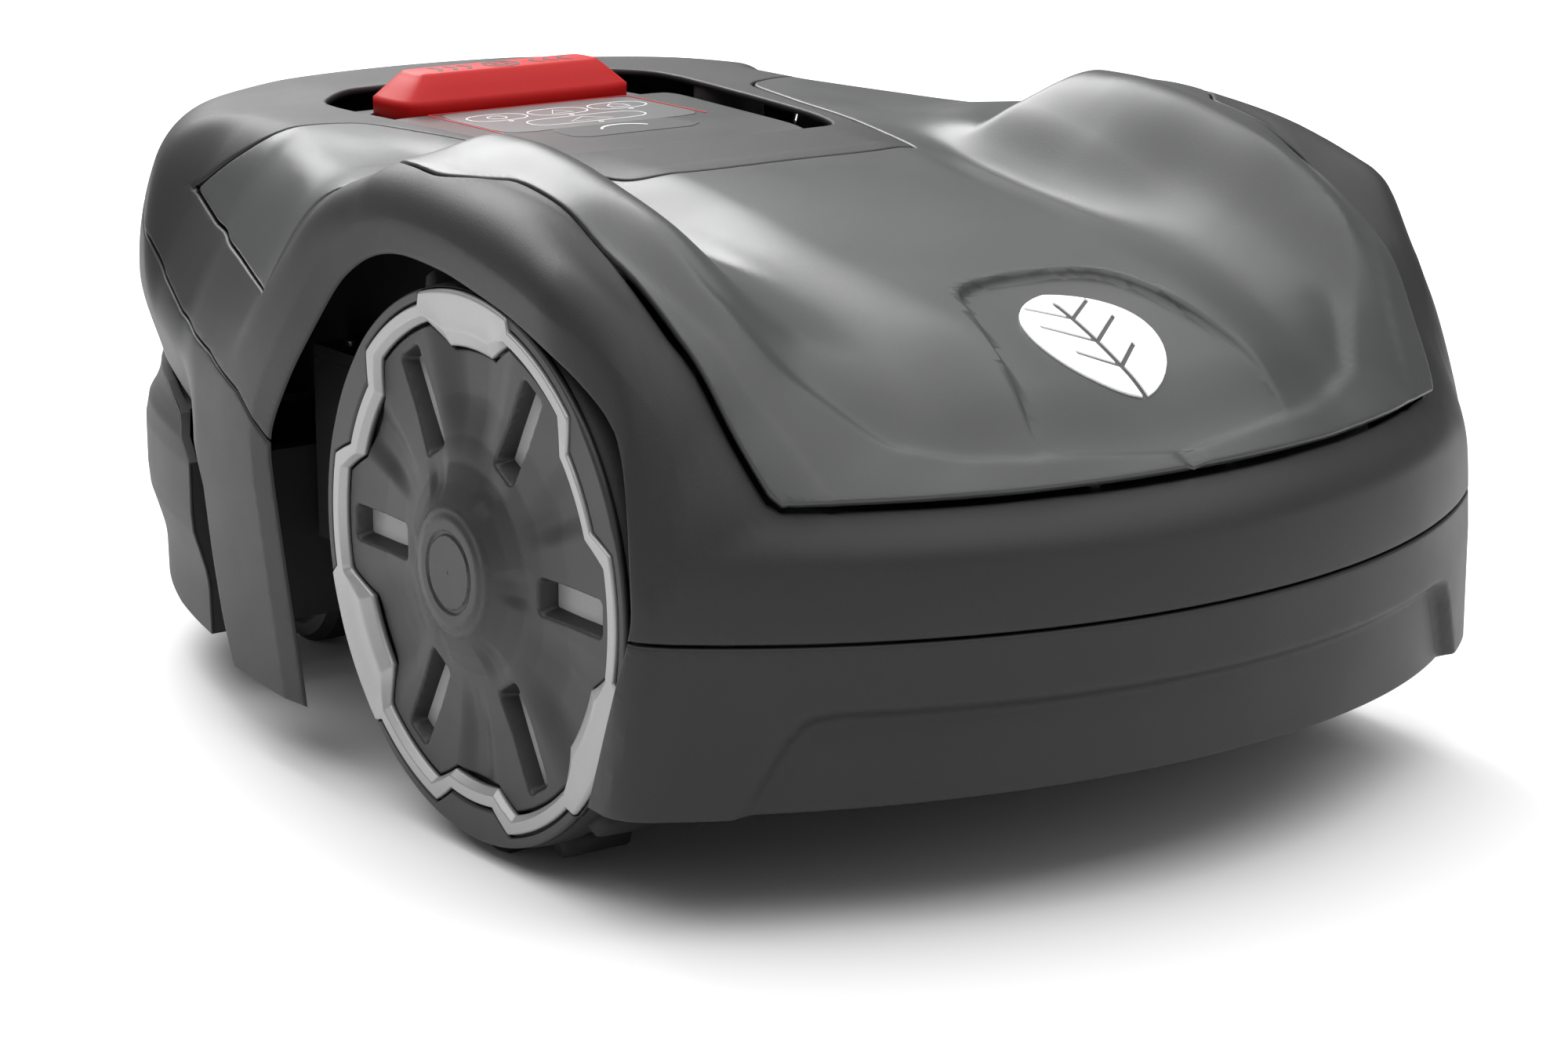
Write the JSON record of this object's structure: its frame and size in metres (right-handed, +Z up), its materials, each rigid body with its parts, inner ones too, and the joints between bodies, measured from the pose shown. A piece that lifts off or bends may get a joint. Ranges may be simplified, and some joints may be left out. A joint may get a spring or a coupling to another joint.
{
  "type": "robotic lawn mower",
  "caption": "Compact robotic lawn mower with a floating moulded shell, a glossy saddle-shaped hood, a red stop bar, two driven wheels, front castors and a pivoting-blade cutting disc.",
  "frame": {"origin": "on the ground under the centre of the body's bounding box", "axes": "+Z up, -Y towards the castor end (front), +Y towards the drive wheels (rear), X across the machine"},
  "size_m": [0.39, 0.57, 0.2433],
  "materials": {
    "shell_charcoal": "fine spark-eroded texture",
    "hood_satin": "satin",
    "chassis_black": "fine grain",
    "console_gloss": "semi-gloss",
    "stop_red": "fine grain",
    "badge_white": "gloss",
    "tyre_rubber": "moulded rubber",
    "soft_rubber": "matte",
    "rim_plastic": "fine grain",
    "trim_silver": "satin silver paint",
    "bright_steel": "machined",
    "motor_steel": "zinc plated",
    "bush_brass": "machined",
    "board_green": "solder mask",
    "battery_wrap": "shrink wrap",
    "moving_plastic": "glass-filled",
    "knob_orange": "fine grain"
  },
  "bodies": {
    "chassis": {"battery_hatch": "chassis_black", "battery_pack": "battery_wrap", "castor_bush_left": "bush_brass", "castor_bush_right": "bush_brass", "charging_contacts": "bush_brass", "chassis_cover": "chassis_black", "chassis_screws": "bright_steel", "chassis_seal": "soft_rubber", "chassis_tub": "chassis_black", "console_deck": "console_gloss", "console_housing": "chassis_black", "drive_motor_left": "motor_steel", "drive_motor_right": "motor_steel", "front_chassis": "chassis_black", "front_sensor_board": "board_green", "guide_rods": "bright_steel", "hatch_screws": "bright_steel", "keypad_overlay": "console_gloss", "main_board": "board_green", "post_bellows": "soft_rubber", "rear_sensor_board": "board_green", "stop_spring": "bright_steel", "stop_switch": "moving_plastic"},
    "shell": {"main_shell": "shell_charcoal", "hood_panel": "hood_satin", "front_bumper": "shell_charcoal", "rear_bumper": "shell_charcoal", "hood_badge": "badge_white", "shell_sockets": "chassis_black"},
    "float_mount": {"float_posts": "moving_plastic"},
    "stop_button": {"stop_button": "stop_red"},
    "cutting_carriage": {"cutting_carriage": "moving_plastic", "cutting_motor": "motor_steel"},
    "cutting_disc": {"cutting_disc": "moving_plastic", "blade_screws": "bright_steel", "skid_bolt": "bright_steel"},
    "skid_plate": {"skid_plate": "moving_plastic"},
    "blade_1": {"cutting_blade_1": "bright_steel"},
    "blade_2": {"cutting_blade_2": "bright_steel"},
    "blade_3": {"cutting_blade_3": "bright_steel"},
    "height_knob": {"height_knob": "knob_orange"},
    "drive_wheel_left": {"drive_axle_left": "bright_steel", "wheel_rim_left": "rim_plastic", "tyre_left": "tyre_rubber", "wheel_trim_ring_left": "trim_silver", "wheel_cap_left": "rim_plastic"},
    "castor_fork_left": {"castor_fork_left": "moving_plastic", "castor_axle_left": "bright_steel"},
    "castor_wheel_left": {"castor_wheel_left": "tyre_rubber"},
    "drive_wheel_right": {"drive_axle_right": "bright_steel", "wheel_rim_right": "rim_plastic", "tyre_right": "tyre_rubber", "wheel_trim_ring_right": "trim_silver", "wheel_cap_right": "rim_plastic"},
    "castor_fork_right": {"castor_fork_right": "moving_plastic", "castor_axle_right": "bright_steel"},
    "castor_wheel_right": {"castor_wheel_right": "tyre_rubber"}
  },
  "joints": [
    {"name": "shell_lift", "type": "slide", "parent": "chassis", "child": "float_mount", "axis": [0, 0, 1], "range_m": [0, 0.008]},
    {"name": "shell_knock", "type": "slide", "parent": "float_mount", "child": "shell", "axis": [0, 1, 0], "range_m": [-0.0025, 0.0025], "stiffness_N_per_m": 4000},
    {"name": "stop_press", "type": "slide", "parent": "chassis", "child": "stop_button", "axis": [0, 0, -1], "range_m": [0, 0.004], "stiffness_N_per_m": 1500, "springref_m": -0.003, "deforming": ["stop_spring"]},
    {"name": "cutting_height", "type": "slide", "parent": "chassis", "child": "cutting_carriage", "axis": [0, 0, 1], "range_m": [0, 0.03]},
    {"name": "height_knob_turn", "type": "hinge", "parent": "chassis", "child": "height_knob", "pos_m": [0, -0.086, 0.06], "axis": [0, 0, 1], "range_deg": [0, 271]},
    {"name": "cutting_disc_spin", "type": "hinge", "parent": "cutting_carriage", "child": "cutting_disc", "pos_m": [0, 0.002, 0.024], "axis": [0, 0, 1], "continuous": true},
    {"name": "skid_plate_spin", "type": "hinge", "parent": "cutting_disc", "child": "skid_plate", "pos_m": [0, 0.002, 0.016], "axis": [0, 0, 1], "continuous": true},
    {"name": "blade_1_swing", "type": "hinge", "parent": "cutting_disc", "child": "blade_1", "pos_m": [0, 0.062, 0.0218], "axis": [0, 0, 1], "continuous": true},
    {"name": "blade_2_swing", "type": "hinge", "parent": "cutting_disc", "child": "blade_2", "pos_m": [-0.05196, -0.028, 0.0218], "axis": [0, 0, 1], "continuous": true},
    {"name": "blade_3_swing", "type": "hinge", "parent": "cutting_disc", "child": "blade_3", "pos_m": [0.05196, -0.028, 0.0218], "axis": [0, 0, 1], "continuous": true},
    {"name": "drive_wheel_left_spin", "type": "hinge", "parent": "chassis", "child": "drive_wheel_left", "pos_m": [0.165, 0.107, 0.104], "axis": [1, 0, 0], "continuous": true},
    {"name": "castor_left_swivel", "type": "hinge", "parent": "chassis", "child": "castor_fork_left", "pos_m": [0.095, -0.183, 0.07], "axis": [0, 0, 1], "continuous": true},
    {"name": "castor_left_roll", "type": "hinge", "parent": "castor_fork_left", "child": "castor_wheel_left", "pos_m": [0.095, -0.167, 0.032], "axis": [1, 0, 0], "continuous": true},
    {"name": "drive_wheel_right_spin", "type": "hinge", "parent": "chassis", "child": "drive_wheel_right", "pos_m": [-0.165, 0.107, 0.104], "axis": [1, 0, 0], "continuous": true},
    {"name": "castor_right_swivel", "type": "hinge", "parent": "chassis", "child": "castor_fork_right", "pos_m": [-0.095, -0.183, 0.07], "axis": [0, 0, 1], "continuous": true},
    {"name": "castor_right_roll", "type": "hinge", "parent": "castor_fork_right", "child": "castor_wheel_right", "pos_m": [-0.095, -0.167, 0.032], "axis": [1, 0, 0], "continuous": true}
  ],
  "couplings": [
    {"joint": "height_knob_turn", "follows": "cutting_height", "rad_per_m": 157}
  ]
}
